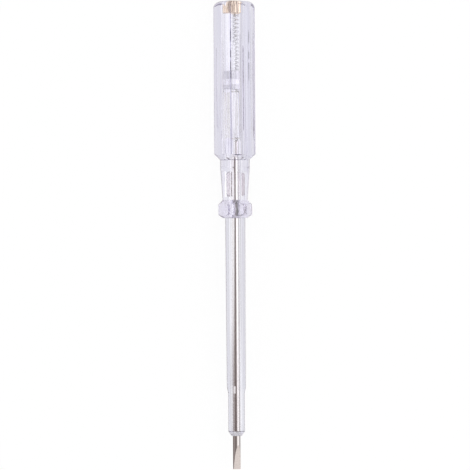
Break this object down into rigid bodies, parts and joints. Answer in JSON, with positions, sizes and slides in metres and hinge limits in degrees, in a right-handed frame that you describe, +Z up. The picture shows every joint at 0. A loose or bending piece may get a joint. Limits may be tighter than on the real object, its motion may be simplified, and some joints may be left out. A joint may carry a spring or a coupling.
{
  "type": "voltage tester screwdriver",
  "caption": "Mains voltage tester in the form of a slotted screwdriver: clear six-sided grip with a neon lamp, resistor and spring inside, sleeved shank and a brass end screw.",
  "frame": {"origin": "middle of the tool's length and width, on the surface that the grip's flat lies on", "axes": "+X along the tool from the finger contact to the blade, +Z up from the flat that the grip lies on, +Y across"},
  "size_m": [0.19, 0.017, 0.0156],
  "materials": {
    "clear_plastic": "clear moulded plastic with a faint lilac tint",
    "chromed_steel": "bright chromed",
    "brass": "machined, knurled outside",
    "spring_steel": "drawn wire, bright",
    "tinned_cap": "pressed and tinned, satin",
    "lacquer": "pale lacquer on a ceramic rod",
    "lamp_glass": "clear glass tube",
    "nickel": "plain nickel"
  },
  "bodies": {
    "tool": {"handle_body": "clear_plastic", "shank_sleeve": "clear_plastic", "blade_shank": "chromed_steel", "end_bush": "brass", "resistor_rear_cap": "tinned_cap", "resistor_body": "lacquer", "resistor_front_cap": "tinned_cap", "lamp_glass": "lamp_glass", "lamp_rear_lead": "nickel", "lamp_front_lead": "nickel", "lamp_rear_electrode": "nickel", "lamp_front_electrode": "nickel"},
    "spring": {"contact_spring": "spring_steel"},
    "screw": {"end_screw": "brass"}
  },
  "joints": [
    {"name": "screw_travel", "type": "slide", "parent": "tool", "child": "spring", "axis": [-1, 0, 0], "range_m": [0, 0.0044], "deforming": ["contact_spring"]},
    {"name": "screw_turn", "type": "hinge", "parent": "spring", "child": "screw", "pos_m": [-0.09215, 0, 0.00778], "axis": [-1, 0, 0], "range_deg": [0, 1980]}
  ],
  "couplings": [
    {"joint": "screw_turn", "follows": "screw_travel", "rad_per_m": 7854}
  ]
}
